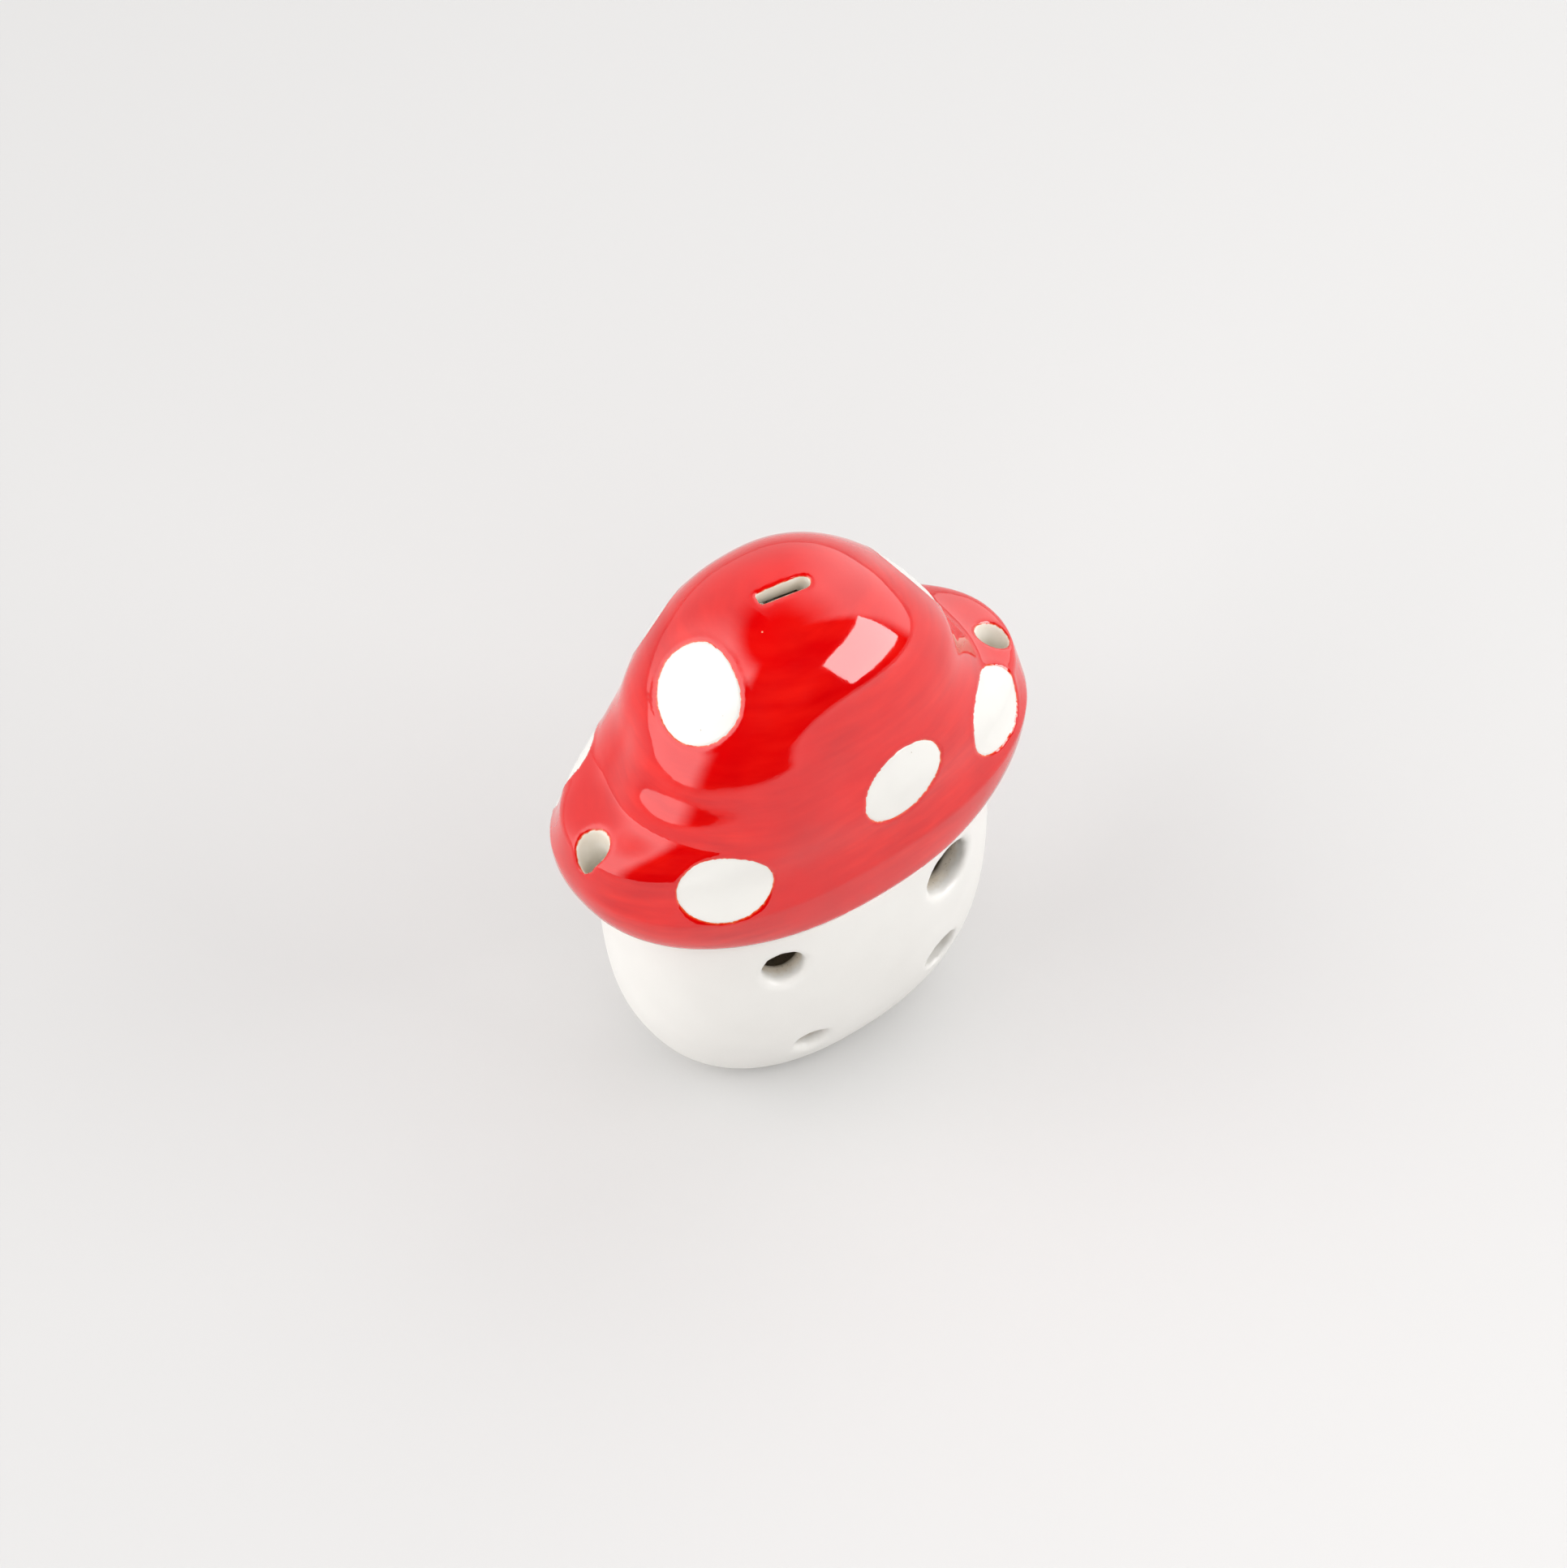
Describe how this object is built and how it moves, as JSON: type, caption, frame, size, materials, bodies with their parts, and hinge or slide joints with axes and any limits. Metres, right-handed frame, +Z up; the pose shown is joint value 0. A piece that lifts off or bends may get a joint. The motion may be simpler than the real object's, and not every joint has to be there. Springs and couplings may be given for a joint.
{
  "type": "pendant ocarina",
  "caption": "Mushroom-shaped glazed ceramic pendant ocarina: hollow oval stem with finger holes, spotted cap with a blowing slot in the crown and cord holes in two side lugs.",
  "frame": {"origin": "centre of the flat foot, at the middle of the cap's footprint", "axes": "+Z up through the crown, +X along the cap from lug to lug, -Y towards the finger holes"},
  "size_m": [0.065, 0.038, 0.0756],
  "materials": {
    "foot_clay": "matt bare fired clay",
    "stem_glaze": "satin off-white glaze",
    "cap_glaze": "glossy red glaze",
    "block_clay": "matt bare fired clay",
    "blade_clay": "matt bare fired clay",
    "spot_upper_left_glaze": "glossy white glaze",
    "spot_front_left_glaze": "glossy white glaze",
    "spot_front_middle_glaze": "glossy white glaze",
    "spot_front_right_glaze": "glossy white glaze",
    "spot_rear_left_glaze": "glossy white glaze",
    "spot_upper_right_glaze": "glossy white glaze",
    "spot_rear_top_glaze": "glossy white glaze",
    "spot_rear_right_glaze": "glossy white glaze"
  },
  "bodies": {
    "root": {"foot_disc": "foot_clay", "stem_wall": "stem_glaze", "cap_shell": "cap_glaze", "windway_block": "block_clay", "labium_blade": "blade_clay", "spot_upper_left": "spot_upper_left_glaze", "spot_front_left": "spot_front_left_glaze", "spot_front_middle": "spot_front_middle_glaze", "spot_front_right": "spot_front_right_glaze", "spot_rear_left": "spot_rear_left_glaze", "spot_upper_right": "spot_upper_right_glaze", "spot_rear_top": "spot_rear_top_glaze", "spot_rear_right": "spot_rear_right_glaze"}
  },
  "joints": []
}
